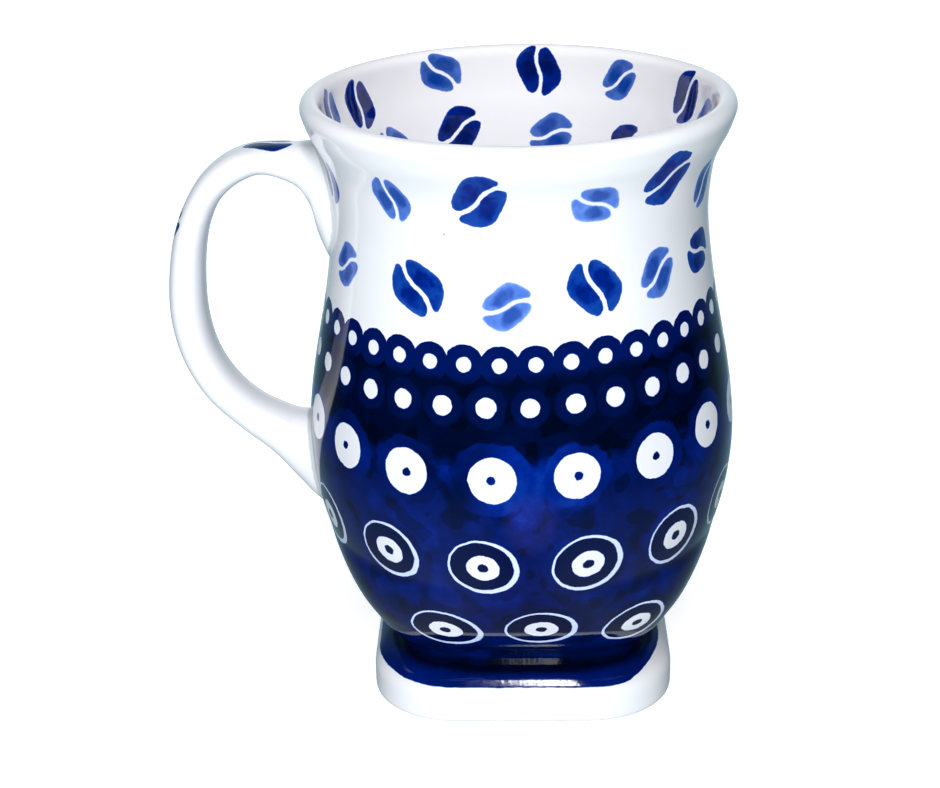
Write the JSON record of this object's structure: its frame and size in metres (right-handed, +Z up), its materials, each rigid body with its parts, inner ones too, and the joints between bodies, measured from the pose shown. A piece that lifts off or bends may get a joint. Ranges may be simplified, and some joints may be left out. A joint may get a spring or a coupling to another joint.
{
  "type": "footed stoneware mug",
  "caption": "Round bellied stoneware mug with a rolled lip, strap handle and square foot, glazed white above and dark blue below with stamped dots, rings and beans.",
  "frame": {"origin": "middle of the bounding box on the surface that the mug stands on; the cup's own axis is 13.9 mm from it towards +X", "axes": "+Z up along the cup, -X towards the handle, +Y across the handle's plane"},
  "size_m": [0.1172, 0.0894, 0.1264],
  "materials": {
    "decorated_glaze": "gloss clear glaze over cobalt stamps on a white body",
    "foot_glaze": "gloss glaze, dark blue above a white band",
    "handle_glaze": "gloss bluish white glaze",
    "bare_stoneware": "matt, unglazed, fired clay"
  },
  "bodies": {
    "root": {"bowl": "decorated_glaze", "square_foot": "foot_glaze", "foot_ring": "bare_stoneware", "foot_slip_joint": "foot_glaze", "handle": "handle_glaze", "upper_handle_slip": "handle_glaze", "lower_handle_slip": "handle_glaze"}
  },
  "joints": []
}
